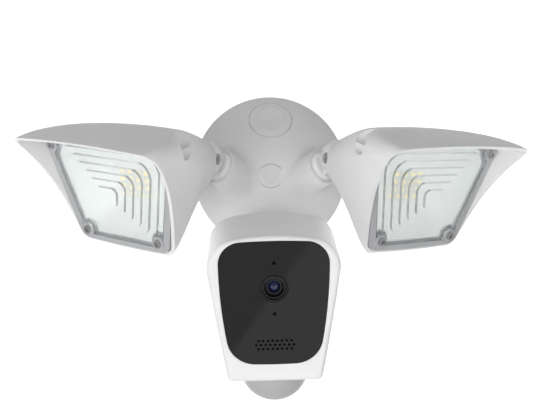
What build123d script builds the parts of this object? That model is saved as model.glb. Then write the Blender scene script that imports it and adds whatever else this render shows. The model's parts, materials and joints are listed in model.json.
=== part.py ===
"""Wall-mounted security light with two lamp heads, a camera and a motion sensor.

Millimetres and degrees.  The wall is the plane Y = 0 and the device stands out from it along -Y,
with +Z up and +X to the right as seen from the front.  The origin is the centre of the wall face.
"""
from build123d import *
from math import cos, radians, sin, sqrt
import os

os.makedirs("parts", exist_ok=True)

# ---------------------------------------------------------------- driving dimensions
shell_wall = 2.4            # wall of every moulded shell
seat_gap = 0.2              # gap round pieces that sit in a shell
running_gap = 0.06          # radial clearance of shafts and pins
free_gap = 0.6              # gap between surfaces that sweep past each other

canopy_radius = 57.5
canopy_rim = 10.0           # height of the straight edge above the wall
dome_radius = 73.0
canopy_edge = 2.0           # rounding between the straight edge and the dome
gasket_thick = 2.0
gasket_width = 5.0

bracket_thick = 2.0
bracket_half_length = 50.0
bracket_half_width = 10.0
bracket_hub = 26.0          # square round the lower canopy bolt
box_slot_spacing = 79.4     # middle of the 70 mm and 89 mm junction-box screw spacings
box_slot_length = 15.0
box_slot_width = 4.8

bolt_radius = 2.0
bolt_head_radius = 4.0
bolt_head_thick = 3.2
drive_share = 0.22          # width of a cross recess's arms over their length
drive_depth = 1.2
bolt_floor = 12.0           # height of the bolt heads' seats above the wall
upper_bolt_height = 40.0
lower_bolt_height = -3.0
upper_plug_radius = 15.8
lower_plug_radius = 8.6
plug_thick = 2.4
plug_recess = 1.2           # depth of the plugs' middle below the dome
plug_recess_share = 0.64    # of the plug's radius
plug_gap = 0.35             # open seam round a plug

socket_radius = 13.5        # outside of a knuckle socket at its mouth
socket_root_radius = 15.0   # outside of a socket's cone at its back end, inside the dome
socket_flare = 10.0         # rounding where a socket's cone meets the dome
contact_gap = 0.04          # gap between faces that rest on each other across a joint
socket_depth = 3.0          # recess that the knuckle's disc turns in
socket_floor = 4.0
disc_radius = 11.0
stem_radius = 6.0
stem_bore = 3.6
stem_length = 12.5
knuckle_reach = 16.0        # socket mouth to tilt bolt
tongue_thick = 9.0
tongue_radius = 9.4
nose_radius = 13.0          # rounded rear end of a lamp head or camera
hinge_bolt_radius = 2.0

lamp_socket_place = (38.0, 47.0, 4.0)   # sideways, out from the wall, up
lamp_socket_yaw = 38.6                  # outward turn of a lamp socket
lamp_socket_rise = 19.0
lamp_swivel = {"left": 7.8, "right": 2.5}
lamp_tilt = {"left": 40.4, "right": 40.8}

lens_ahead = 80.8           # tilt bolt to lens plane
lens_shift = (6.7, 2.1)     # lens centre outward and up from the tilt bolt
lens_top = 57.8             # half-widths of the lens
lens_bottom = 37.5
lens_half_height = 33.9
lens_steps = 6
lens_step_rise = 1.1
lens_step_draft = 38.0      # lean of each step's edge
lens_rim_width = 3.4        # flat edge outside the lowest step
lens_middle = 7.0           # half-height of the highest step
lens_plate = 2.0
frame_thick = 3.0
led_depth = 22.0            # LED faces behind the lens plane
led_pitch = (7.6, 5.2)
visor_front = 26.5          # upper rim ahead of the lens plane

camera_pitch = 16.0
camera_swivel = 1.3         # turn of the camera's knuckle in its socket
camera_socket_place = (0.0, 38.0, -42.0)
camera_socket_rise = -20.0
camera_ahead = 66.6         # tilt bolt to the camera's front face
camera_drop = 30.1          # tilt bolt down to the middle of the front face
camera_depth = 60.0
camera_half_height = 51.5
camera_top = 46.5           # half-widths of the camera body
camera_bottom = 31.8
bezel_depth = 8.0
window_thick = 2.0
window_top = 36.4           # half-widths of the black window
window_bottom = 29.0
window_reach = (48.5, 38.3) # up and down from the middle of the front face
camera_lens_height = 15.7   # above the middle of the front face
camera_lens_radius = 9.2
pinhole_heights = {"light_sensor": 33.5, "microphone": -2.0}
speaker_height = -24.2
speaker_pitch = (3.15, 2.95)
speaker_hole_radius = 0.85
pinhole_radius = 1.2
motion_lip = 4.4            # how far the dome reaches up into the body
motion_radius = 24.2
motion_back = 33.2          # motion dome's axis behind the front face
motion_skirt = 2.6          # straight part of the dome below the body
button_radius = 2.6
button_place = (-17.0, -18.0)
button_travel = 1.0
button_proud = button_travel - 0.2      # how far the button stands out of the body


# ---------------------------------------------------------------- helpers
far = 100.0                 # past every face, for cuts that run right through


def axial_section(plane):
    """The plane through a plane's z axis: x stays, y runs along the old z."""
    return Plane(origin=plane.origin, x_dir=plane.x_dir, z_dir=plane.y_dir * -1)


def side_section(plane):
    """The plane seen from the side: x runs along the old z, y stays."""
    return Plane(origin=plane.origin, x_dir=plane.z_dir, z_dir=plane.x_dir * -1)


def turned(plane, profile, mode=Mode.ADD):
    """Turn a closed profile of (radius, height) points about a plane's z axis."""
    with BuildSketch(axial_section(plane)) as outline:
        with BuildLine():
            Polyline(*profile, close=True)
        make_face()
    revolve(outline.sketch, axis=Axis(plane.origin, plane.z_dir), mode=mode)


def bars(plane, radius, low, high, places=((0, 0),), mode=Mode.ADD):
    """Round bars between two heights above a plane, one at each place."""
    with BuildSketch(plane.offset(low)) as ends:
        with Locations(*places):
            Circle(radius)
    extrude(ends.sketch, amount=high - low, mode=mode)


def slab(plane, width, height, low, high, corner=0.0, mode=Mode.ADD):
    """A rectangular plate, its corners rounded, between two heights above a plane."""
    with BuildSketch(plane.offset(low)) as face:
        if corner > 0:
            RectangleRounded(width, height, corner)
        else:
            Rectangle(width, height)
    extrude(face.sketch, amount=high - low, mode=mode)


def cross_recess(plane, places, width, top, depth):
    """Cut a cross recess into a screw head at each place."""
    for place in places:
        for long_way, short_way in ((width, drive_share * width), (drive_share * width, width)):
            slab(shifted(plane, *place), long_way, short_way, top - depth, top, mode=Mode.SUBTRACT)


def shifted(plane, x, y, z=0.0):
    """A parallel plane whose origin is moved in the plane's own directions."""
    return Plane(
        origin=plane.origin + plane.x_dir * x + plane.y_dir * y + plane.z_dir * z,
        x_dir=plane.x_dir,
        z_dir=plane.z_dir,
    )


def turned_plane(plane, tilt, spin):
    """A plane tilted about its own x axis and spun about its own z axis, origin kept."""
    return Plane(plane.location * Rot(tilt, 0, spin))


def finish(builder, name):
    """Label a finished piece and write it."""
    builder.part.label = name
    export_step(builder.part, f"parts/{name}.step")


# ---------------------------------------------------------------- reference planes
wall = Plane(origin=(0, 0, 0), x_dir=(1, 0, 0), z_dir=(0, -1, 0))


def socket_plane(place, yaw, rise, side):
    """Mouth of a knuckle socket; z points out of it."""
    return Plane(
        origin=(side * place[0], -place[1], place[2]),
        x_dir=(cos(radians(yaw)), side * sin(radians(yaw)), 0),
        z_dir=(
            side * sin(radians(yaw)) * cos(radians(rise)),
            -cos(radians(yaw)) * cos(radians(rise)),
            sin(radians(rise)),
        ),
    )


sides = {"left": -1, "right": 1}
sockets = {
    name: socket_plane(lamp_socket_place, lamp_socket_yaw, lamp_socket_rise, side)
    for name, side in sides.items()
}
sockets["camera"] = socket_plane(camera_socket_place, 0.0, camera_socket_rise, 1)

# Each knuckle turned in its socket, and each tilting piece turned about its bolt.
knuckles = {
    name: turned_plane(sockets[name], 0, sides[name] * lamp_swivel[name]) for name in sides
}
knuckles["camera"] = turned_plane(sockets["camera"], 0, camera_swivel)
hinges = {name: knuckles[name].offset(knuckle_reach) for name in knuckles}
tilted = {name: turned_plane(hinges[name], lamp_tilt[name], 0) for name in sides}
tilted["camera"] = turned_plane(hinges["camera"], camera_pitch + camera_socket_rise, 0)
lamps = {
    name: shifted(tilted[name], sides[name] * lens_shift[0], lens_shift[1], lens_ahead)
    for name in sides
}
camera = shifted(tilted["camera"], 0, -camera_drop, camera_ahead)


# ---------------------------------------------------------------- canopy and what it holds
dome_centre = canopy_rim - sqrt(dome_radius**2 - canopy_radius**2)
canopy_back = gasket_thick


def dome_height(distance, inset=0.0):
    """Height of the dome above the wall at a distance from its centre."""
    return dome_centre + sqrt((dome_radius - inset) ** 2 - distance**2)


def dome_solid(inset, back, mode=Mode.ADD):
    """The dome and its straight edge, filled, with its faces moved inward by an inset."""
    radius = canopy_radius - inset
    rim_height = dome_height(radius, inset)
    top = dome_height(0, inset)
    middle = radius / 2
    with BuildSketch(axial_section(wall)) as outline:
        with BuildLine():
            Line((0, back), (radius, back))
            Line((radius, back), (radius, rim_height))
            ThreePointArc((radius, rim_height), (middle, dome_height(middle, inset)), (0, top))
            Line((0, top), (0, back))
        make_face()
    revolve(outline.sketch, axis=Axis(wall.origin, wall.z_dir), mode=mode)


def plug_plane(height):
    """Plane that touches the dome above or below its centre, z along the dome's normal."""
    lean = height / dome_radius
    return Plane(
        origin=(0, -dome_height(abs(height)), height),
        x_dir=(1, 0, 0),
        z_dir=(0, -sqrt(1 - lean**2), lean),
    )


plugs = {
    "upper_bolt_plug": (plug_plane(upper_bolt_height), upper_plug_radius),
    "lower_bolt_plug": (plug_plane(lower_bolt_height), lower_plug_radius),
}
plug_reach = 8.0            # height above and below a plug's plane that holds all of its edge
bolt_places = [(0, upper_bolt_height), (0, lower_bolt_height)]
bolt_well_radius = bolt_head_radius + 1.0
pillar_radius = bolt_well_radius + shell_wall
socket_back = -30.0         # how far the sockets run back into the dome

supply_front = 19.0         # height of the power supply's front face above the wall
supply_size = (58.0, 20.0, 14.0)
supply_place = (0.0, 22.0)
supply_post_places = [(x, supply_place[1] + y) for x in (-24, 24) for y in (-5, 5)]
terminal_front = 21.0
terminal_size = (34.0, 10.0, 9.0)
terminal_place = (0.0, -19.0)
terminal_post_places = [(x, terminal_place[1]) for x in (-12, 12)]
terminal_pitch = 6.5
board_post_radius = 2.5


def supply_posts(mode=Mode.ADD):
    """Posts that carry the power supply and the terminal block."""
    bars(wall, board_post_radius, supply_front, far, supply_post_places, mode)
    bars(wall, board_post_radius, terminal_front, far, terminal_post_places, mode)


with BuildPart() as canopy_cavity:
    dome_solid(shell_wall, canopy_back)
    bars(wall, pillar_radius, bracket_thick, far, bolt_places, Mode.SUBTRACT)
    for plane, radius in plugs.values():
        bars(plane, radius + 2, -plug_thick - shell_wall, far, mode=Mode.SUBTRACT)
    supply_posts(Mode.SUBTRACT)
    for plane in sockets.values():
        bars(plane, socket_radius - shell_wall, socket_back, -socket_depth - socket_floor)

with BuildPart() as plug_skin:
    dome_solid(0, canopy_back)
    dome_solid(plug_thick, canopy_back, Mode.SUBTRACT)

with BuildPart() as canopy:
    dome_solid(0, canopy_back)
    for plane in sockets.values():
        turned(
            plane,
            [(0, socket_back), (socket_root_radius, socket_back), (socket_radius, 0), (0, 0)],
        )
    fillet(canopy.edges().filter_by(GeomType.BSPLINE), socket_flare)
    outer_edge = canopy.edges().filter_by(GeomType.CIRCLE).filter_by(
        lambda edge: abs(edge.radius - canopy_radius) < 0.01 and edge.center().Y < -canopy_rim / 2
    )
    fillet(outer_edge, canopy_edge)
    bars(wall, 2 * canopy_radius, -far, canopy_back, mode=Mode.SUBTRACT)
    add(canopy_cavity.part, mode=Mode.SUBTRACT)
    for plane in sockets.values():
        bars(plane, disc_radius + seat_gap, -socket_depth, 1, mode=Mode.SUBTRACT)
        bars(plane, stem_radius + running_gap, socket_back, 0, mode=Mode.SUBTRACT)
    bars(wall, bolt_well_radius, bolt_floor, far, bolt_places, Mode.SUBTRACT)
    bars(wall, bolt_radius + 0.2, 0, bolt_floor, bolt_places, Mode.SUBTRACT)
    for plane, radius in plugs.values():
        with BuildPart(mode=Mode.PRIVATE) as seat:
            bars(plane, radius + plug_gap, -plug_reach, plug_reach)
            add(plug_skin.part, mode=Mode.INTERSECT)
        add(seat.part, mode=Mode.SUBTRACT)
finish(canopy, "canopy")

for plug_name, (plane, radius) in plugs.items():
    with BuildPart() as plug:
        bars(plane, radius, -plug_reach, plug_reach)
        add(plug_skin.part, mode=Mode.INTERSECT)
        bars(plane, radius * plug_recess_share, -plug_recess, far, mode=Mode.SUBTRACT)
    finish(plug, plug_name)

gasket_edge = canopy_radius - 0.8
with BuildPart() as wall_gasket:
    turned(
        wall,
        [
            (gasket_edge - gasket_width, 0),
            (gasket_edge, 0),
            (gasket_edge, gasket_thick),
            (gasket_edge - gasket_width, gasket_thick),
        ],
    )
finish(wall_gasket, "wall_gasket")

with BuildPart() as mounting_bracket:
    corner = 0.4 * bracket_half_width
    slab(wall, 2 * bracket_half_length, 2 * bracket_half_width, 0, bracket_thick, corner)
    arm_top = upper_bolt_height + 2 * bolt_head_radius
    slab(shifted(wall, 0, arm_top / 2), 2 * bracket_half_width, arm_top, 0, bracket_thick, corner)
    slab(shifted(wall, 0, lower_bolt_height), bracket_hub, bracket_hub, 0, bracket_thick, corner)
    with BuildSketch(wall) as slots:
        with GridLocations(box_slot_spacing, 0, 2, 1):
            SlotOverall(box_slot_length, box_slot_width)
    extrude(slots.sketch, amount=bracket_thick, mode=Mode.SUBTRACT)
    bars(wall, bolt_radius + 0.05, 0, bracket_thick, bolt_places, Mode.SUBTRACT)
finish(mounting_bracket, "mounting_bracket")

with BuildPart() as canopy_bolts:
    bars(wall, bolt_radius, 0, bolt_floor, bolt_places)
    bars(wall, bolt_head_radius, bolt_floor, bolt_floor + bolt_head_thick, bolt_places)
    head_top = bolt_floor + bolt_head_thick
    cross_recess(wall, bolt_places, 1.3 * bolt_head_radius, head_top, drive_depth)
finish(canopy_bolts, "canopy_bolts")

with BuildPart() as power_supply:
    supply = shifted(wall, *supply_place)
    slab(supply, supply_size[0], supply_size[1], supply_front - supply_size[2], supply_front, 3)
finish(power_supply, "power_supply")

with BuildPart() as terminal_block:
    block = shifted(wall, *terminal_place)
    slab(block, terminal_size[0], terminal_size[1], terminal_front - terminal_size[2], terminal_front, 1)
    entries = [(place * terminal_pitch, 0) for place in (-2, -1, 0, 1, 2)]
    bars(block, 1.6, terminal_front - terminal_size[2], terminal_front - 3, entries, Mode.SUBTRACT)
finish(terminal_block, "terminal_block")


# ---------------------------------------------------------------- knuckles
nut_thick = 4.0
nut_radius = 9.6            # over its corners
seal_thick = 1.0
disc_step = 0.6             # height of the disc's edge above the socket's mouth
disc_top = 2.4
bolt_end = nose_radius - 2.5            # outer faces of the tilt bolt's head and nut
tilt_head_thick = 2.2
tilt_head_radius = 3.6
lock_nut_thick = 3.0
lock_nut_radius = 3.9       # over its corners
tilt_seat_radius = 4.0


def knuckle_pieces(name):
    """Arm, seal, swivel nut and tilt bolt of one knuckle."""
    plane = knuckles[name]
    hinge = hinges[name]
    floor_back = -socket_depth - socket_floor - contact_gap
    disc_back = -socket_depth + seal_thick

    with BuildPart() as arm:
        turned(
            plane,
            [
                (0, disc_back),
                (disc_radius, disc_back),
                (disc_radius, disc_step),
                (disc_radius - disc_top + 0.2, disc_top),
                (0, disc_top),
            ],
        )
        bars(plane, stem_radius, -stem_length, disc_back)
        with BuildSketch(side_section(hinge)) as tongue:
            Circle(tongue_radius)
            with Locations((-knuckle_reach / 2, 0)):
                Rectangle(knuckle_reach - 1, 2 * tongue_radius * 0.8)
        extrude(tongue.sketch, amount=tongue_thick / 2, both=True)
        bars(side_across(hinge), hinge_bolt_radius + running_gap, -far, far, mode=Mode.SUBTRACT)
        bars(plane, stem_bore, -stem_length, disc_top + 1.6, mode=Mode.SUBTRACT)
    finish(arm, f"{name}_arm")

    with BuildPart() as seal:
        bars(plane, disc_radius - 0.6, -socket_depth + contact_gap, disc_back)
        bars(plane, stem_radius + 0.3, -socket_depth, disc_back, mode=Mode.SUBTRACT)
    finish(seal, f"{name}_socket_seal")

    with BuildPart() as nut:
        with BuildSketch(plane.offset(floor_back - nut_thick)) as hexagon:
            RegularPolygon(nut_radius, 6)
            Circle(stem_radius, mode=Mode.SUBTRACT)
        extrude(hexagon.sketch, amount=nut_thick)
    finish(nut, f"{name}_swivel_nut")

    across = side_across(tilted[name])
    with BuildPart() as bolt:
        bars(across, hinge_bolt_radius, lock_nut_thick - bolt_end, bolt_end - tilt_head_thick)
        bars(across, tilt_head_radius, bolt_end - tilt_head_thick, bolt_end)
        cross_recess(across, [(0, 0)], 1.1 * tilt_head_radius, bolt_end, tilt_head_thick / 2)
        with BuildSketch(across.offset(-bolt_end)) as lock_nut:
            RegularPolygon(lock_nut_radius, 6)
        extrude(lock_nut.sketch, amount=lock_nut_thick)
    finish(bolt, f"{name}_tilt_bolt")


def side_across(plane):
    """Plane through the tilt bolt, z along the bolt."""
    return Plane(origin=plane.origin, x_dir=plane.y_dir, z_dir=plane.x_dir)


def nose(plane, mode=Mode.ADD):
    """Rounded rear end that holds the tilt bolt."""
    with BuildSketch(axial_section(plane)) as half:
        with BuildLine():
            CenterArc((0, 0), nose_radius, -90, 180)
            Line((0, nose_radius), (0, -nose_radius))
        make_face()
    revolve(half.sketch, axis=Axis(plane.origin, plane.z_dir), mode=mode)


def knuckle_slot(plane, up_reach, lower_front):
    """Cut the slot for the arm's tongue and the seats of the tilt bolt out of a nose.

    Behind the bolt the slot is open up to a reach above it, and below the bolt it is open as far
    forward as the lower front.
    """
    clear = tongue_radius + free_gap
    with BuildSketch(side_section(plane)) as sweep:
        Circle(clear)
        with Locations((lower_front, 0)):
            Rectangle(2 * nose_radius + lower_front, 1.2 * nose_radius, align=(Align.MAX, Align.MAX))
        with Locations((0, up_reach)):
            Rectangle(2 * nose_radius, 2.2 * nose_radius, align=(Align.MAX, Align.MAX))
    extrude(sweep.sketch, amount=tongue_thick / 2 + 0.3, both=True, mode=Mode.SUBTRACT)
    across = side_across(plane)
    outside = nose_radius + 3
    bars(across, hinge_bolt_radius + 0.05, -nose_radius, nose_radius, mode=Mode.SUBTRACT)
    bars(across, tilt_seat_radius, bolt_end - tilt_head_thick - 0.05, outside, mode=Mode.SUBTRACT)
    bars(across, tilt_seat_radius, -outside, lock_nut_thick + 0.05 - bolt_end, mode=Mode.SUBTRACT)


for knuckle_name in knuckles:
    knuckle_pieces(knuckle_name)


# ---------------------------------------------------------------- lamp heads
# Shell sections: place ahead of the lens plane, half-widths at top and bottom, reach up and down
# from the lens centre, radii of the upper and lower corners.
horn_sections = [
    (-80.8, 12.8, 12.8, 12.8, 12.8, 12.0, 12.0),
    (-60.0, 31.0, 20.0, 26.0, 19.0, 16.0, 12.0),
    (-34.0, 50.0, 31.5, 37.3, 28.5, 17.0, 12.0),
    (-8.0, 64.0, 43.0, 43.0, 38.5, 11.0, 10.0),
    (28.0, 68.5, 46.5, 43.5, 43.5, 9.0, 10.0),
]
horn_crown = 0.055          # rise of the upper edge over its half-width


def horn_outline(plane, section, side, inset):
    """One cross-section of a lamp shell, its faces moved inward by an inset."""
    ahead, top, bottom, up, down, upper_corner, lower_corner = section
    rear, front = horn_sections[0][0], horn_sections[-1][0]
    rearward = (front - ahead) / (front - rear)
    fade = max(0.0, (rearward - 0.1) / 0.9) ** 2      # draws the shell's rear in to the tilt bolt
    x = -side * lens_shift[0] * fade
    y = -lens_shift[1] * fade
    top -= inset
    bottom -= inset
    up -= inset
    down -= inset
    crown = horn_crown * top
    sag = 1.0               # drop of the lower edge's middle
    with BuildSketch(plane.offset(ahead)) as outline:
        with BuildLine():
            ThreePointArc((x - top, y + up - crown), (x, y + up), (x + top, y + up - crown))
            Line((x + top, y + up - crown), (x + bottom, y - down + sag))
            ThreePointArc((x + bottom, y - down + sag), (x, y - down), (x - bottom, y - down + sag))
            Line((x - bottom, y - down + sag), (x - top, y + up - crown))
        make_face()
        corners = outline.vertices().group_by(Axis.Y)
        fillet(corners[-1], upper_corner - max(inset - 0.2, 0))
        fillet(outline.vertices().group_by(Axis.Y)[0], lower_corner - max(inset - 0.2, 0))
    return outline.sketch


def horn(plane, side, inset, first=0, mode=Mode.ADD):
    """The flared body of a lamp shell, filled, from one of its sections forward."""
    loft([horn_outline(plane, section, side, inset) for section in horn_sections[first:]], mode=mode)


def lens_outline(plane, height, shrink, corner):
    """A rounded trapezoid, smaller than the lens on every side."""
    share = 1 - shrink / lens_half_height
    with BuildSketch(plane.offset(height)) as outline:
        with BuildLine():
            up = lens_half_height * share
            Polyline(
                (-lens_top * share, up), (lens_top * share, up),
                (lens_bottom * share, -up), (-lens_bottom * share, -up), close=True,
            )
        make_face()
        fillet(outline.vertices(), corner)
    return outline.sketch


front_screw_places = [(54.5, 29.0), (34.5, -30.5), (-34.5, -30.5)]     # outward and up
pocket_screw_place = (-54.5, 29.0)
pocket_radius = 6.0         # bore behind the screw that is driven from the rear
pocket_front = -12.0
scoop_place = (-46.5, 34.5)             # outward and up; widens the pocket to the upper edge
scoop_radius = 7.0
scoop_front = -20.0
lens_screw_radius = 1.4
lens_screw_hole = 20.0      # depth of the screws' holes behind the lens plane
lens_screw_length = 11.0
lens_head_radius = 2.9
lens_head_thick = 1.6
boss_rise = 0.8             # frame bosses ahead of the lens plane
screw_boss_radius = 5.0
lens_flange = 2.0           # ledge round the lens that the frame holds down
lens_corner = 12.0
lens_step_pitch = (lens_half_height - lens_middle - lens_rim_width) / (lens_steps - 1)
lens_gasket_thick = 1.2
spreader_size = (62.0, 40.0, 4.0)
spreader_fin_depth = 13.0
spreader_fins = 9
board_thick = 1.6
chip_size = (3.4, 2.8, 0.6)
post_places = [(25.0, 14.0), (-25.0, 14.0), (25.0, -14.0), (-25.0, -14.0)]
post_radius = 3.0
reflector_wall = 1.2
reflector_flange = 1.0


def screw_places(side, pocket):
    """Places of the three front screws of a lamp head, and of the rear one if asked for."""
    places = front_screw_places + [pocket_screw_place] if pocket else front_screw_places
    return [(side * outward, up) for outward, up in places]


# The rim seen from the side: places ahead of and above the lens centre, bottom to top.
rim_line = [(-5.0, -60.0), (-2.2, -38.0), (3.7, 2.0), (12.1, 24.0), (visor_front, 44.0)]


def rim_cut(plane):
    """Trim the shell's front to the curved rim, further forward at the top."""
    with BuildSketch(side_section(plane)) as front:
        with BuildLine():
            Spline(*rim_line)
            Line(rim_line[-1], (far, rim_line[-1][1]))
            Line((far, rim_line[-1][1]), (far, rim_line[0][1]))
            Line((far, rim_line[0][1]), rim_line[0])
        make_face()
    extrude(front.sketch, amount=2 * lens_top, both=True, mode=Mode.SUBTRACT)


def lamp_housing(name):
    """Flared shell of one lamp head with its posts, rim and knuckle slot."""
    plane = lamps[name]
    side = sides[name]
    spreader_back = -led_depth - chip_size[2] - board_thick - spreader_size[2]
    places = screw_places(side, True)
    pocket = places[-1:]
    scoop = [(side * scoop_place[0], scoop_place[1])]
    with BuildPart() as cavity:
        horn(plane, side, shell_wall, 1)
        bars(plane, screw_boss_radius, -far, -frame_thick, places, Mode.SUBTRACT)
        bars(plane, pocket_radius + shell_wall, -far, pocket_front + shell_wall, pocket, Mode.SUBTRACT)
        bars(plane, scoop_radius + shell_wall, -far, scoop_front + shell_wall, scoop, Mode.SUBTRACT)
        bars(plane, post_radius, -far, spreader_back, post_places, Mode.SUBTRACT)
    with BuildPart() as housing:
        horn(plane, side, 0)
        nose(tilted[name])
        add(cavity.part, mode=Mode.SUBTRACT)
        bars(plane, lens_screw_radius, -lens_screw_hole, 0, places, Mode.SUBTRACT)
        bars(plane, pocket_radius, -lens_ahead, pocket_front, pocket, Mode.SUBTRACT)
        bars(plane, scoop_radius, -lens_ahead, scoop_front, scoop, Mode.SUBTRACT)
        rim_cut(plane)
        knuckle_slot(tilted[name], tongue_radius + free_gap, tongue_radius + free_gap)
    finish(housing, f"{name}_lamp_housing")


def lamp_light(name):
    """Heat spreader, LED board, LED chips and reflector of one lamp head."""
    plane = lamps[name]
    chips_back = -led_depth - chip_size[2]
    board_back = chips_back - board_thick
    spreader_back = board_back - spreader_size[2]

    with BuildPart() as spreader:
        slab(plane, spreader_size[0], spreader_size[1], spreader_back, board_back, 3)
        with BuildSketch(plane.offset(spreader_back)) as fins:
            with GridLocations((spreader_size[0] - 22) / (spreader_fins - 1), 0, spreader_fins, 1):
                Rectangle(1.6, spreader_size[1] - 4)
        extrude(fins.sketch, amount=-spreader_fin_depth)
    finish(spreader, f"{name}_heat_spreader")

    with BuildPart() as board:
        slab(plane, spreader_size[0] - 6, spreader_size[1] - 4, board_back, chips_back, 2)
    finish(board, f"{name}_led_board")

    with BuildPart() as chips:
        with BuildSketch(plane.offset(chips_back)) as grid:
            with GridLocations(led_pitch[0], led_pitch[1], 4, 4):
                Rectangle(chip_size[0], chip_size[1])
        extrude(grid.sketch, amount=chip_size[2])
    finish(chips, f"{name}_led_chips")

    gasket_back = -frame_thick - lens_gasket_thick
    flange_back = gasket_back - reflector_flange
    back_shrink = lens_half_height - 2 * led_pitch[1] - 3.5
    with BuildPart() as reflector:
        front = lens_outline(plane, flange_back, reflector_wall / 2, lens_corner)
        back = lens_outline(plane, chips_back, back_shrink, 5)
        loft([back, front])
        extrude(lens_outline(plane, flange_back, -lens_flange - 0.2, lens_corner), amount=reflector_flange)
        inner_front = lens_outline(plane, gasket_back + 0.1, 1.5 * reflector_wall, lens_corner)
        inner_back = lens_outline(plane, chips_back + 1.0, back_shrink + reflector_wall, 4)
        loft([inner_back, inner_front], mode=Mode.SUBTRACT)
        slab(plane, 4 * led_pitch[0], 4 * led_pitch[1], chips_back, chips_back + 2, mode=Mode.SUBTRACT)
        bars(plane, screw_boss_radius + seat_gap, -60, 0, screw_places(sides[name], True), Mode.SUBTRACT)
    finish(reflector, f"{name}_reflector")


def lamp_front(name):
    """Gasket, stepped lens, frame and screws of one lamp head."""
    plane = lamps[name]
    side = sides[name]
    gasket_back = -frame_thick - lens_gasket_thick
    flange_front = -lens_plate
    boss_clear = screw_boss_radius + seat_gap
    places = screw_places(side, True)

    with BuildPart() as middle:
        extrude(lens_outline(plane, gasket_back, 1.6, lens_corner), amount=lens_gasket_thick)
        bars(plane, boss_clear + 2, gasket_back, 0, places, Mode.SUBTRACT)
    with BuildPart() as gasket:
        extrude(lens_outline(plane, gasket_back, -lens_flange, lens_corner), amount=lens_gasket_thick)
        add(middle.part, mode=Mode.SUBTRACT)
        bars(plane, boss_clear, gasket_back, 0, places, Mode.SUBTRACT)
    finish(gasket, f"{name}_lens_gasket")

    with BuildPart() as lens:
        extrude(
            lens_outline(plane, -frame_thick, -lens_flange, lens_corner),
            amount=frame_thick - lens_plate,
        )
        extrude(lens_outline(plane, flange_front, 0, lens_corner), amount=lens_plate)
        for step in range(lens_steps):
            shrink = lens_rim_width + lens_step_pitch * step
            corner = lens_corner * (0.2 + 0.8 * (1 - shrink / lens_half_height))
            extrude(
                lens_outline(plane, lens_step_rise * step, shrink, corner),
                amount=lens_step_rise, taper=lens_step_draft,
            )
        bars(plane, boss_clear, -frame_thick, 8, places, Mode.SUBTRACT)
    finish(lens, f"{name}_lens")

    with BuildPart() as frame:
        horn(plane, side, shell_wall + seat_gap, 2)
        slab(plane, 6 * lens_top, 6 * lens_top, -frame_thick, 0, mode=Mode.INTERSECT)
        extrude(
            lens_outline(plane, -frame_thick, -seat_gap, lens_corner),
            amount=frame_thick, mode=Mode.SUBTRACT,
        )
        extrude(
            lens_outline(plane, -frame_thick, -lens_flange - seat_gap, lens_corner),
            amount=frame_thick - lens_plate + seat_gap / 2, mode=Mode.SUBTRACT,
        )
        bars(plane, screw_boss_radius, -frame_thick, boss_rise, places)
        bars(plane, lens_screw_radius + 0.1, -frame_thick, 2, places, Mode.SUBTRACT)
    finish(frame, f"{name}_lens_frame")

    with BuildPart() as screws:
        front = screw_places(side, False)
        head_top = boss_rise + lens_head_thick
        bars(plane, lens_screw_radius, -lens_screw_length, boss_rise, front)
        bars(plane, lens_head_radius, boss_rise, head_top, front)
        cross_recess(plane, front, 1.2 * lens_head_radius, head_top, lens_head_thick / 2)
        bars(plane, lens_screw_radius, pocket_front, boss_rise / 2, places[-1:])
        bars(plane, lens_head_radius, pocket_front - lens_head_thick, pocket_front, places[-1:])
    finish(screws, f"{name}_lens_screws")


for lamp_name in sides:
    lamp_housing(lamp_name)
    lamp_light(lamp_name)
    lamp_front(lamp_name)


# ---------------------------------------------------------------- camera
body_upper_corner = 20.0
body_crown = 7.5            # rise of the body's upper edge over its half-width
body_lower_corner = 4.0
body_rear_edge = 2.6
body_bow = 1.2              # how far the body's sides bow outward
window_bow = 2.2
window_crown = 2.0
window_upper_corner = 15.0
window_lower_corner = 19.0
window_proud = 0.2          # window's face ahead of the bezel's
bezel_front_edge = 3.4
bezel_opening = (50.0, 74.4, 12.0)      # width, height and corner behind the window
board_front = -16.0
body_screw_places = [(34.0, 34.0), (-34.0, 34.0), (27.0, -41.0), (-27.0, -41.0)]
body_screw_radius = 1.35
body_screw_seat = -22.0
body_screw_length = 18.5
body_head_radius = 2.8
body_head_thick = 2.0
body_post_radius = 5.0


def body_outline(height, inset):
    """Outline of the camera body, wider at the top, its faces moved inward by an inset."""
    top = camera_top - inset
    bottom = camera_bottom - inset
    up = camera_half_height - inset
    with BuildSketch(camera.offset(height)) as outline:
        with BuildLine():
            ThreePointArc((-top, up - body_crown), (0, up), (top, up - body_crown))
            ThreePointArc((top, up - body_crown), ((top + bottom) / 2 + body_bow, 0), (bottom, -up))
            Line((bottom, -up), (-bottom, -up))
            ThreePointArc((-bottom, -up), (-(top + bottom) / 2 - body_bow, 0), (-top, up - body_crown))
        make_face()
        rows = outline.vertices().group_by(Axis.Y)
        fillet(rows[-1], body_upper_corner - inset)
        fillet(outline.vertices().group_by(Axis.Y)[0], max(body_lower_corner - inset, 1.0))
    return outline.sketch


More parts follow.
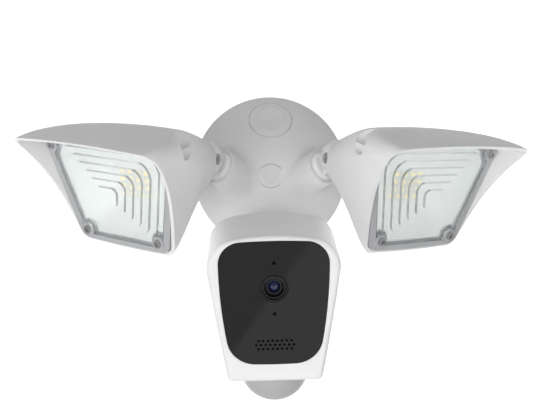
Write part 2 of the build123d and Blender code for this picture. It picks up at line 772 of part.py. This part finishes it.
def window_outline(height, inset):
    """Outline of the black window, with long sweeps at its lower corners."""
    top = window_top - inset
    bottom = window_bottom - inset
    up = window_reach[0] - inset
    down = window_reach[1] - inset
    with BuildSketch(camera.offset(height)) as outline:
        with BuildLine():
            high = up - window_crown
            low = window_crown / 2 - down
            reach = (top + bottom) / 2 + window_bow
            ThreePointArc((-top, high), (0, up), (top, high))
            ThreePointArc((top, high), (reach, 0), (bottom, low))
            ThreePointArc((bottom, low), (0, -down), (-bottom, low))
            ThreePointArc((-bottom, low), (-reach, 0), (-top, high))
        make_face()
        fillet(outline.vertices().group_by(Axis.Y)[-1], window_upper_corner - inset)
        fillet(outline.vertices().group_by(Axis.Y)[0], window_lower_corner - inset)
    return outline.sketch


motion_plane = Plane(
    origin=shifted(camera, 0, -camera_half_height, -motion_back).origin,
    x_dir=camera.x_dir,
    z_dir=camera.y_dir * -1,
)
lens_centre = shifted(camera, 0, camera_lens_height)
speaker_centre = shifted(camera, 0, speaker_height)
rear_inside = -camera_depth + shell_wall

with BuildPart() as body_cavity:
    extrude(body_outline(rear_inside, shell_wall), amount=camera_depth)
    nose(tilted["camera"], Mode.SUBTRACT)
    bars(camera, body_post_radius, -camera_depth, 0, body_screw_places, Mode.SUBTRACT)

with BuildPart() as rear_shell:
    extrude(body_outline(-camera_depth, 0), amount=camera_depth - bezel_depth)
    fillet(rear_shell.faces().sort_by(Axis(camera.origin, camera.z_dir))[0].edges(), body_rear_edge)
    nose(tilted["camera"])
    add(body_cavity.part, mode=Mode.SUBTRACT)
    knuckle_slot(tilted["camera"], nose_radius, 0)
    bars(motion_plane, motion_radius + seat_gap, -motion_lip - shell_wall, 4, mode=Mode.SUBTRACT)
    bars(camera, body_head_radius + 0.4, -far, body_screw_seat, body_screw_places, Mode.SUBTRACT)
    bars(camera, body_screw_radius + 0.25, -camera_depth, 0, body_screw_places, Mode.SUBTRACT)
    bars(camera, button_radius + 0.15, -far, rear_inside + 1, [button_place], Mode.SUBTRACT)
finish(rear_shell, "camera_rear_shell")

with BuildPart() as front_bezel:
    extrude(body_outline(-bezel_depth, 0), amount=bezel_depth)
    front_edges = front_bezel.faces().sort_by(Axis(camera.origin, camera.z_dir))[-1].edges()
    fillet(front_edges, bezel_front_edge)
    extrude(window_outline(-window_thick, -seat_gap), amount=window_thick, mode=Mode.SUBTRACT)
    slab(camera, *bezel_opening[:2], -bezel_depth, 0, bezel_opening[2], Mode.SUBTRACT)
    bars(camera, body_screw_radius + 0.05, -bezel_depth, -3, body_screw_places, Mode.SUBTRACT)
finish(front_bezel, "camera_front_bezel")

with BuildPart() as front_window:
    extrude(window_outline(-window_thick, 0), amount=window_thick + window_proud)
    bars(lens_centre, camera_lens_radius + seat_gap, -far, far, mode=Mode.SUBTRACT)
    pinholes = [(0, height) for height in pinhole_heights.values()]
    bars(camera, pinhole_radius, -far, far, pinholes, Mode.SUBTRACT)
    for row, count in ((1, 8), (0, 9), (-1, 8)):
        first = -(count - 1) / 2
        holes = [((first + place) * speaker_pitch[0], row * speaker_pitch[1]) for place in range(count)]
        bars(speaker_centre, speaker_hole_radius, -window_thick, 1, holes, Mode.SUBTRACT)
finish(front_window, "camera_window")

with BuildPart() as lens_barrel:
    turned(
        lens_centre,
        [
            (5.4, board_front), (camera_lens_radius, board_front), (camera_lens_radius, 0.2),
            (camera_lens_radius - 0.5, 0.7), (camera_lens_radius - 1.2, 0.7), (7.4, -0.6),
            (6.6, -0.6), (5.2, -3.2), (4.2, -3.2), (4.2, -9), (5.4, -9),
        ],
    )
finish(lens_barrel, "camera_lens_barrel")

glass_radius = 4.1
glass_edge = -5.0
glass_curve = 5.2           # radius of the glass's front face
glass_middle = glass_edge - sqrt(glass_curve**2 - glass_radius**2)
glass_back = -8.0
glass_lean = radians(20)    # where the front arc's middle point lies from the axis
with BuildPart() as lens_glass:
    with BuildSketch(axial_section(lens_centre)) as half_lens:
        with BuildLine():
            Line((0, glass_back), (glass_radius, glass_back))
            Line((glass_radius, glass_back), (glass_radius, glass_edge))
            ThreePointArc(
                (glass_radius, glass_edge),
                (glass_curve * sin(glass_lean), glass_middle + glass_curve * cos(glass_lean)),
                (0, glass_middle + glass_curve),
            )
            Line((0, glass_middle + glass_curve), (0, glass_back))
        make_face()
    revolve(half_lens.sketch, axis=Axis(lens_centre.origin, lens_centre.z_dir))
finish(lens_glass, "camera_lens_glass")

with BuildPart() as image_sensor:
    slab(lens_centre, 6.4, 5.6, board_front, board_front + 1.2)
finish(image_sensor, "image_sensor")

with BuildPart() as camera_board:
    slab(shifted(camera, 0, 4), 46, 66, board_front - board_thick, board_front, 3)
finish(camera_board, "camera_board")

for sensor_name, height in pinhole_heights.items():
    with BuildPart() as sensor:
        bars(shifted(camera, 0, height), 2.1, board_front, -window_thick)
        bars(shifted(camera, 0, height), pinhole_radius, -window_thick - 1.5, 0, mode=Mode.SUBTRACT)
    finish(sensor, sensor_name)

with BuildPart() as speaker:
    turned(
        speaker_centre,
        [
            (0, -12), (7, -12), (7, -8), (10.5, -6), (11.6, -window_thick), (10, -window_thick),
            (8.5, -5), (0, -5.5),
        ],
    )
finish(speaker, "speaker")

with BuildPart() as body_screws:
    head_back = body_screw_seat - body_head_thick
    recess = head_back + body_head_thick / 2
    bars(camera, body_screw_radius, body_screw_seat, body_screw_seat + body_screw_length, body_screw_places)
    bars(camera, body_head_radius, head_back, body_screw_seat, body_screw_places)
    cross_recess(camera, body_screw_places, 1.2 * body_head_radius, recess, body_head_thick / 2)
finish(body_screws, "camera_body_screws")

dome_wall = 1.2
motion_board_back = 3.8     # behind the body's underside, inside the dome's lip
motion_board_front = -2.6


def dome_profile(radius):
    """Filled outline of the motion dome: a straight skirt and a rounded end."""
    with BuildSketch(axial_section(motion_plane)) as half:
        with BuildLine():
            Line((0, -motion_lip), (radius, -motion_lip))
            Line((radius, -motion_lip), (radius, motion_skirt))
            CenterArc((0, motion_skirt), radius, 0, 90)
            Line((0, motion_skirt + radius), (0, -motion_lip))
        make_face()
    return half.sketch


motion_axis = Axis(motion_plane.origin, motion_plane.z_dir)
with BuildPart() as motion_dome:
    revolve(dome_profile(motion_radius), axis=motion_axis)
    revolve(dome_profile(motion_radius - dome_wall), axis=motion_axis, mode=Mode.SUBTRACT)
finish(motion_dome, "motion_sensor_dome")

with BuildPart() as motion_board:
    bars(motion_plane, motion_radius - dome_wall - seat_gap, -motion_board_back, motion_board_front)
finish(motion_board, "motion_sensor_board")

with BuildPart() as motion_sensor:
    bars(motion_plane, 4.6, motion_board_front, motion_board_front + 0.6)
    bars(motion_plane, 4.1, motion_board_front + 0.6, motion_board_front + 4.8)
finish(motion_sensor, "motion_sensor")

button_plane = shifted(camera, *button_place)
with BuildPart() as reset_button:
    bars(button_plane, button_radius, -camera_depth - button_proud, rear_inside + 0.1)
    bars(button_plane, button_radius + 1.2, rear_inside + 0.1, rear_inside + 1.2)
finish(reset_button, "reset_button")
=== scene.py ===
"""Looks, light and camera for the floodlight security camera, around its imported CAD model."""

import json
import math

import bmesh
import bpy
from mathutils import Matrix, Vector


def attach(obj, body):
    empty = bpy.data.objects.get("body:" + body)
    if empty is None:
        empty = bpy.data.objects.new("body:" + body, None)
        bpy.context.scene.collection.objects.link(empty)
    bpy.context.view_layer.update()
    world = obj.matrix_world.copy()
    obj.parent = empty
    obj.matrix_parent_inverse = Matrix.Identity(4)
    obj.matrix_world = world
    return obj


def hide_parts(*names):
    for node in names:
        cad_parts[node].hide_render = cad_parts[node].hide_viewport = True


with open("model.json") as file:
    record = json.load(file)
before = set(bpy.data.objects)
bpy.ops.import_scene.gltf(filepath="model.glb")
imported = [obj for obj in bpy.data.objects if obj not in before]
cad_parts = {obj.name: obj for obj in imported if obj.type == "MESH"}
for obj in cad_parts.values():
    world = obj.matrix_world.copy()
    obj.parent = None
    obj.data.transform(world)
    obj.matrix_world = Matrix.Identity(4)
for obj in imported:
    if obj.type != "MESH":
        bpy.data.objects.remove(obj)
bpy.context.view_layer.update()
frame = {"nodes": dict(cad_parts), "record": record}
nodes = frame["nodes"]

MM = 0.001
SIDES = ("left", "right")

LENS_IOR = 1.32             # chosen so that the lens steps show
WINDOW_IOR = 1.45
GLASS_IOR = 1.55


# ---------------------------------------------------------------- places worked out from the frame
def facing_of(name):
    """The way a flat piece faces, out of the wall."""
    mesh = nodes[name].data
    areas = {}
    for polygon in mesh.polygons:
        key = tuple(round(value, 2) for value in polygon.normal)
        areas[key] = areas.get(key, 0.0) + polygon.area
    facing = [Vector(key).normalized() for key in sorted(areas, key=areas.get) if key[1] < -0.3]
    return facing[-1]


# ---------------------------------------------------------------- materials
class Recipe:
    """A node material with its shader, and short ways to add nodes to it."""

    def __init__(self, name, color, roughness, metallic=0.0, **settings):
        self.material = bpy.data.materials.new(name)
        self.material.use_nodes = True
        self.tree = self.material.node_tree
        self.shader = self.tree.nodes["Principled BSDF"]
        self.shader.inputs["Base Color"].default_value = (*color, 1.0)
        self.shader.inputs["Roughness"].default_value = roughness
        self.shader.inputs["Metallic"].default_value = metallic
        for key, value in settings.items():
            self.shader.inputs[key.replace("_", " ")].default_value = value
        self.place = self.add("ShaderNodeTexCoord").outputs["Object"]
        self.last_bump = None

    def add(self, kind, **inputs):
        node = self.tree.nodes.new(kind)
        for key, value in inputs.items():
            node.inputs[key.replace("_", " ")].default_value = value
        return node

    def link(self, source, target):
        self.tree.links.new(source, target)

    def stretched(self, scale):
        mapping = self.add("ShaderNodeMapping")
        mapping.inputs["Scale"].default_value = scale
        self.link(self.place, mapping.inputs["Vector"])
        return mapping.outputs["Vector"]

    def noise(self, scale, detail=3.0, place=None):
        node = self.add("ShaderNodeTexNoise", Scale=scale, Detail=detail)
        self.link(place or self.place, node.inputs["Vector"])
        return node.outputs["Fac"]

    def spread(self, source, low, high, from_low=0.3, from_high=0.7):
        node = self.add("ShaderNodeMapRange")
        node.inputs["From Min"].default_value = from_low
        node.inputs["From Max"].default_value = from_high
        node.inputs["To Min"].default_value = low
        node.inputs["To Max"].default_value = high
        self.link(source, node.inputs["Value"])
        return node.outputs["Result"]

    def mix(self, factor, first, second, blend="MIX"):
        node = self.tree.nodes.new("ShaderNodeMix")
        node.data_type = "RGBA"
        node.blend_type = blend
        if isinstance(factor, float):
            node.inputs["Factor"].default_value = factor
        else:
            self.link(factor, node.inputs["Factor"])
        for socket, value in (("A", first), ("B", second)):
            target = [item for item in node.inputs if item.name == socket and item.type == "RGBA"][0]
            if isinstance(value, tuple):
                target.default_value = (*value, 1.0)
            else:
                self.link(value, target)
        return [item for item in node.outputs if item.type == "RGBA"][0]

    def color(self, source):
        self.link(source, self.shader.inputs["Base Color"])

    def roughness(self, source):
        self.link(source, self.shader.inputs["Roughness"])

    def bump(self, height, strength, distance):
        node = self.add("ShaderNodeBump", Strength=strength, Distance=distance)
        self.link(height, node.inputs["Height"])
        if self.last_bump:
            self.link(self.last_bump, node.inputs["Normal"])
        self.last_bump = node.outputs["Normal"]
        self.link(self.last_bump, self.shader.inputs["Normal"])

    def edges(self, low=0.53, high=0.60):
        """Mask of convex edges."""
        geometry = self.add("ShaderNodeNewGeometry")
        return self.spread(geometry.outputs["Pointiness"], 0.0, 1.0, low, high)


def shaded(color, factor):
    return tuple(min(1.0, value * factor) for value in color)


def moulded(name, color, roughness, grain=1600.0, grain_height=0.00005, grain_strength=0.28,
            mottle=0.02, wear=0.03, **settings):
    """Injection-moulded plastic: fine spark-eroded grain, faint mottling, rubbed edges."""
    recipe = Recipe(name, color, roughness, **settings)
    cloudy = recipe.noise(22.0, 4.0)
    darker, lighter = shaded(color, 1 - mottle), shaded(color, 1 + mottle)
    base = recipe.mix(recipe.spread(cloudy, 0.0, 1.0), darker, lighter)
    worn = recipe.mix(recipe.edges(), (0.0, 0.0, 0.0), (wear, wear, wear))
    recipe.color(recipe.mix(1.0, base, worn, "ADD"))
    fine = recipe.noise(grain, 2.0)
    recipe.roughness(recipe.spread(recipe.noise(90.0, 3.0), roughness - 0.05, roughness + 0.06))
    recipe.bump(fine, grain_strength, grain_height)
    recipe.bump(recipe.noise(60.0, 2.0), 0.05, 0.0004)
    return recipe.material


def plated_steel(name, color):
    """Zinc-plated steel: drawn streaks and dull patches."""
    recipe = Recipe(name, color, 0.36, metallic=1.0)
    streaks = recipe.noise(700.0, 3.0, recipe.stretched((1.0, 1.0, 0.08)))
    patches = recipe.noise(120.0, 4.0)
    tone = recipe.mix(recipe.spread(patches, 0.0, 1.0), shaded(color, 0.82), shaded(color, 1.12))
    recipe.color(tone)
    recipe.roughness(recipe.spread(streaks, 0.26, 0.48))
    recipe.bump(streaks, 0.25, 0.00003)
    return recipe.material


def cast_metal(name, color):
    """Die-cast aluminium with its grainy skin."""
    recipe = Recipe(name, color, 0.48, metallic=1.0)
    grains = recipe.noise(900.0, 4.0)
    recipe.color(recipe.mix(recipe.spread(grains, 0.0, 1.0), shaded(color, 0.88), shaded(color, 1.06)))
    recipe.roughness(recipe.spread(recipe.noise(150.0), 0.40, 0.58))
    recipe.bump(grains, 0.4, 0.00006)
    return recipe.material


def rubber(name, color):
    """Soft foam or rubber with open fine pores."""
    recipe = Recipe(name, color, 0.85)
    pores = recipe.add("ShaderNodeTexVoronoi", Scale=1400.0)
    recipe.link(recipe.place, pores.inputs["Vector"])
    recipe.color(
        recipe.mix(recipe.spread(recipe.noise(80.0), 0.0, 1.0), shaded(color, 0.8), shaded(color, 1.25))
    )
    recipe.roughness(recipe.spread(recipe.noise(300.0), 0.78, 0.93))
    recipe.bump(pores.outputs["Distance"], 0.35, 0.0001)
    return recipe.material


def circuit_board(name, mask, copper, **settings):
    """Solder mask over copper areas, with the tracks standing a little proud."""
    recipe = Recipe(name, mask, 0.35, **settings)
    tracks = recipe.add("ShaderNodeTexBrick", Scale=170.0)
    tracks.inputs["Mortar Size"].default_value = 0.06
    tracks.offset = 0.37
    recipe.link(recipe.place, tracks.inputs["Vector"])
    lines = tracks.outputs["Fac"]
    recipe.color(recipe.mix(lines, mask, copper))
    recipe.roughness(recipe.spread(recipe.noise(400.0), 0.28, 0.42))
    recipe.bump(lines, 0.3, 0.00004)
    return recipe.material


def clear_plastic(name, color, roughness, clearness):
    """Moulded lens material, faintly milky, with slight flow waves."""
    recipe = Recipe(name, color, roughness)
    recipe.shader.inputs["IOR"].default_value = LENS_IOR
    recipe.shader.inputs["Transmission Weight"].default_value = clearness
    haze = recipe.noise(35.0, 3.0)
    recipe.color(recipe.mix(recipe.spread(haze, 0.0, 1.0), shaded(color, 0.975), shaded(color, 1.01)))
    recipe.roughness(recipe.spread(recipe.noise(220.0), roughness * 0.7, roughness * 1.4))
    recipe.bump(recipe.noise(1900.0, 2.0), 0.12, 0.00003)
    recipe.bump(haze, 0.05, 0.0005)
    return recipe.material


def polished_black(name, color):
    """Glossy window of the camera: deep black with faint wipe marks."""
    recipe = Recipe(name, color, 0.05)
    recipe.shader.inputs["IOR"].default_value = WINDOW_IOR
    wipes = recipe.noise(30.0, 5.0, recipe.stretched((1.0, 1.0, 0.25)))
    recipe.color(recipe.mix(recipe.spread(wipes, 0.0, 1.0), color, shaded(color, 1.25)))
    recipe.roughness(recipe.spread(wipes, 0.035, 0.075))
    recipe.bump(recipe.noise(45.0, 2.0), 0.02, 0.0002)
    return recipe.material


def coated_glass(name, color, tint):
    """Lens glass whose coating shows blue at its middle and violet towards its edge."""
    recipe = Recipe(name, color, 0.03)
    recipe.shader.inputs["IOR"].default_value = GLASS_IOR
    recipe.shader.inputs["Coat Weight"].default_value = 0.6
    facing = recipe.add("ShaderNodeLayerWeight", Blend=0.35)
    recipe.color(recipe.mix(facing.outputs["Facing"], color, tint))
    recipe.roughness(recipe.spread(recipe.noise(500.0), 0.02, 0.05))
    recipe.bump(recipe.noise(200.0), 0.02, 0.0001)
    return recipe.material


WHITE = (0.80, 0.80, 0.80)
# Painted light: colour of the faint glow given to the reflector, the LED package bodies and the pale
# LED board, in place of studio light passing through the clear lens.
PAINTED_LENS_LIGHT = (0.94, 0.97, 0.97, 1.0)
MATERIALS = {
    "white_shell": moulded("white_shell", WHITE, 0.44),
    # Painted shade: the canopy is a little greyer than the white shell, standing in for the lesser
    # light it gets.
    "canopy_shell": moulded("canopy_shell", (0.76, 0.76, 0.76), 0.48),
    "grey_frame": moulded("grey_frame", (0.45, 0.455, 0.47), 0.42),
    # Painted light: the reflector glows faintly, though it is no lamp.
    "reflector": moulded(
        "reflector", (0.94, 0.94, 0.93), 0.22, grain_strength=0.05, wear=0.02,
        Emission_Color=PAINTED_LENS_LIGHT, Emission_Strength=0.30,
    ),
    "black_plastic": moulded("black_plastic", (0.003, 0.003, 0.0035), 0.28, wear=0.0),
    "terminal_plastic": moulded("terminal_plastic", (0.55, 0.55, 0.52), 0.4),
    "dome_plastic": moulded(
        "dome_plastic", (0.42, 0.42, 0.42), 0.36, grain_strength=0.10, mottle=0.015, wear=0.02,
    ),
    "led": moulded(
        "led", (0.93, 0.74, 0.18), 0.3, grain_strength=0.1, wear=0.0,
        Emission_Color=(1.0, 0.78, 0.16, 1.0), Emission_Strength=1.0,
    ),
    "steel": plated_steel("steel", (0.56, 0.56, 0.57)),
    "aluminium": cast_metal("aluminium", (0.62, 0.62, 0.63)),
    "rubber": rubber("rubber", (0.035, 0.035, 0.037)),
    # Painted light: the pale LED board glows faintly, in place of studio light passing through the
    # clear lens.
    "circuit_board": circuit_board(
        "circuit_board", (0.90, 0.91, 0.90), (0.82, 0.82, 0.80),
        Emission_Color=PAINTED_LENS_LIGHT, Emission_Strength=0.15,
    ),
    "green_board": circuit_board("green_board", (0.012, 0.10, 0.045), (0.04, 0.2, 0.09)),
    "clear_lens": clear_plastic("clear_lens", (0.93, 0.955, 0.955), 0.15, 0.88),
    "black_gloss": polished_black("black_gloss", (0.003, 0.003, 0.0032)),
    "coated_glass": coated_glass("coated_glass", (0.004, 0.012, 0.05), (0.03, 0.015, 0.06)),
}
# The lens gaskets show through the clear rims, so they are pale silicone, not black rubber.
NODE_LOOKS = {f"{side}_lens_gasket": rubber("silicone", (0.62, 0.64, 0.65)) for side in SIDES}
node_slots = {part["node"]: part["material_slot"] for part in frame["record"]["subparts"]}
for node_name, node in nodes.items():
    node.data.materials.clear()
    node.data.materials.append(NODE_LOOKS.get(node_name, MATERIALS[node_slots[node_name]]))


# ---------------------------------------------------------------- LED packages
POOL_RIM = 0.25 * MM        # white rim round the phosphor
POOL_FLOOR = 0.35 * MM      # inset of the phosphor's edge
WALL_SHARE = 0.8            # shares of a package's half-height
POOL_SHARE = 0.35
TOP_SHARE = 0.97            # width of the top inside its rounded edge


def led_grid(name):
    """Corners of a lamp's sixteen chips, from the separate bits of their CAD mesh."""
    mesh = bmesh.new()
    mesh.from_mesh(nodes[name].data)
    bmesh.ops.remove_doubles(mesh, verts=mesh.verts, dist=1e-6)
    seen = set()
    chips = []
    for vertex in mesh.verts:
        if vertex in seen:
            continue
        group = [vertex]
        seen.add(vertex)
        for member in group:
            for edge in member.link_edges:
                other = edge.other_vert(member)
                if other not in seen:
                    seen.add(other)
                    group.append(other)
        chips.append([member.co.copy() for member in group])
    mesh.free()
    return chips


def led_packages(side):
    """White LED packages with a shallow pool of yellow phosphor, in place of the plain CAD chips."""
    facing = facing_of(f"{side}_led_board")
    mesh = bmesh.new()
    for corners in led_grid(f"{side}_led_chips"):
        centre = sum(corners, Vector()) / len(corners)
        top = [corner for corner in corners if (corner - centre).dot(facing) > 0]
        along = (top[1] - top[0])
        for other in top[1:]:
            if (other - top[0]).length < along.length:
                along = other - top[0]
        along.normalize()
        across = facing.cross(along)
        half_along = max(abs((corner - centre).dot(along)) for corner in corners)
        half_across = max(abs((corner - centre).dot(across)) for corner in corners)
        half_high = max(abs((corner - centre).dot(facing)) for corner in corners)

        def ring(scale, height, inset=0.0):
            points = []
            for a, b in ((-1, -1), (1, -1), (1, 1), (-1, 1)):
                points.append(mesh.verts.new(
                    centre + along * a * (half_along * scale - inset)
                    + across * b * (half_across * scale - inset) + facing * height
                ))
            return points

        rings = [
            ring(1.0, -half_high), ring(1.0, half_high * WALL_SHARE), ring(TOP_SHARE, half_high),
            ring(1.0, half_high, POOL_RIM), ring(1.0, half_high * POOL_SHARE, POOL_FLOOR),
        ]
        for low, high in zip(rings, rings[1:]):
            for index in range(4):
                following = (index + 1) % 4
                mesh.faces.new((low[index], low[following], high[following], high[index]))
        mesh.faces.new(list(reversed(rings[0])))
        pool = mesh.faces.new(rings[-1])
        pool.material_index = 1
    bmesh.ops.recalc_face_normals(mesh, faces=mesh.faces)
    data = bpy.data.meshes.new(f"{side}_led_packages")
    mesh.to_mesh(data)
    mesh.free()
    # The white package bodies take the reflector material, with its painted glow.
    data.materials.append(MATERIALS["reflector"])
    data.materials.append(MATERIALS["led"])
    piece = bpy.data.objects.new(f"{side}_led_packages", data)
    bpy.context.scene.collection.objects.link(piece)
    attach(piece, f"{side}_lamp")
    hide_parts(f"{side}_led_chips")


for side_name in SIDES:
    led_packages(side_name)


# ---------------------------------------------------------------- room, light and camera
FLOOR_HEIGHT = -0.75
BACKDROP_AHEAD = 1.6
BACKDROP_BEND = 0.5
BACKDROP_STEPS = 16
BACKDROP_REACH = 3.0        # towards the viewer and upwards
BACKDROP_HALF_WIDTH = 4.0
WORLD_STRENGTH = 0.24
SOFT_SIZE = 0.9
SOFT_TARGET = (0.0, -0.08, -0.03)
CAMERA_PLACE = (-0.01996, -0.8, -0.02791)
CAMERA_YAW = math.radians(-2)
CAMERA_LENS = 67.08


def backdrop():
    """A pale floor that sweeps up into a wall behind the device."""
    profile = [(-BACKDROP_REACH, FLOOR_HEIGHT)]
    for step in range(BACKDROP_STEPS + 1):
        angle = math.pi / 2 * step / BACKDROP_STEPS
        profile.append((
            BACKDROP_AHEAD - BACKDROP_BEND + BACKDROP_BEND * math.sin(angle),
            FLOOR_HEIGHT + BACKDROP_BEND - BACKDROP_BEND * math.cos(angle),
        ))
    profile.append((BACKDROP_AHEAD, BACKDROP_REACH))
    mesh = bmesh.new()
    edges = (-BACKDROP_HALF_WIDTH, BACKDROP_HALF_WIDTH)
    rows = [[mesh.verts.new((x, y, z)) for y, z in profile] for x in edges]
    for index in range(len(profile) - 1):
        mesh.faces.new((rows[0][index], rows[1][index], rows[1][index + 1], rows[0][index + 1]))
    for face in mesh.faces:
        face.smooth = True
    data = bpy.data.meshes.new("backdrop")
    mesh.to_mesh(data)
    mesh.free()
    paper = Recipe("paper", (0.9, 0.9, 0.9), 0.9)
    paper.bump(paper.noise(300.0), 0.05, 0.0002)
    data.materials.append(paper.material)
    piece = bpy.data.objects.new("backdrop", data)
    bpy.context.scene.collection.objects.link(piece)


def panel(name, place, target, width, height, power, spin=0.0):
    """A soft rectangular light that faces a target."""
    data = bpy.data.lights.new(name, "AREA")
    data.shape = "RECTANGLE"
    data.size = width
    data.size_y = height
    data.energy = power
    light = bpy.data.objects.new(name, data)
    aim = (Vector(target) - Vector(place)).to_track_quat("-Z", "Y").to_matrix()
    light.matrix_world = Matrix.Translation(place) @ (aim @ Matrix.Rotation(spin, 3, "Z")).to_4x4()
    bpy.context.scene.collection.objects.link(light)
    return light


bpy.context.scene.view_settings.view_transform = "Standard"
backdrop()
world = bpy.data.worlds.new("studio")
world.use_nodes = True
world.node_tree.nodes["Background"].inputs["Color"].default_value = (1.0, 1.0, 1.0, 1.0)
world.node_tree.nodes["Background"].inputs["Strength"].default_value = WORLD_STRENGTH
bpy.context.scene.world = world

panel("backdrop_left", (-1.1, 1.0, 0.0), (0.1, 1.6, 0.0), 0.3, 1.2, 13)
panel("backdrop_right", (1.1, 1.0, 0.0), (-0.1, 1.6, 0.0), 0.3, 1.2, 13)
# Shows in the camera's window as a lighter half with a slanting edge.
panel(
    "window_gloss", (0.259, -0.412, -0.519), (0.244, -0.012, -0.220), 0.6, 1.2, 0.8,
    spin=math.radians(-34),
)
for name, place, power in (
    ("key_low_left", (-1.0, -1.3, -0.5), 13),
    ("key_low_right", (1.0, -1.3, -0.5), 3.5),
    ("high", (0.0, -1.0, 1.4), 4),
    ("front", (-0.2, -2.0, 0.1), 8),
):
    soft = panel(name, place, SOFT_TARGET, SOFT_SIZE, SOFT_SIZE, power)
    soft.visible_glossy = False

camera_data = bpy.data.cameras.new("camera")
camera_data.lens = CAMERA_LENS
camera_data.sensor_width = 36.0
camera_data.clip_start = 0.01
camera_data.clip_end = 20.0
camera = bpy.data.objects.new("camera", camera_data)
camera.location = CAMERA_PLACE
camera.rotation_euler = (math.radians(90), 0.0, CAMERA_YAW)
bpy.context.scene.collection.objects.link(camera)
bpy.context.scene.camera = camera
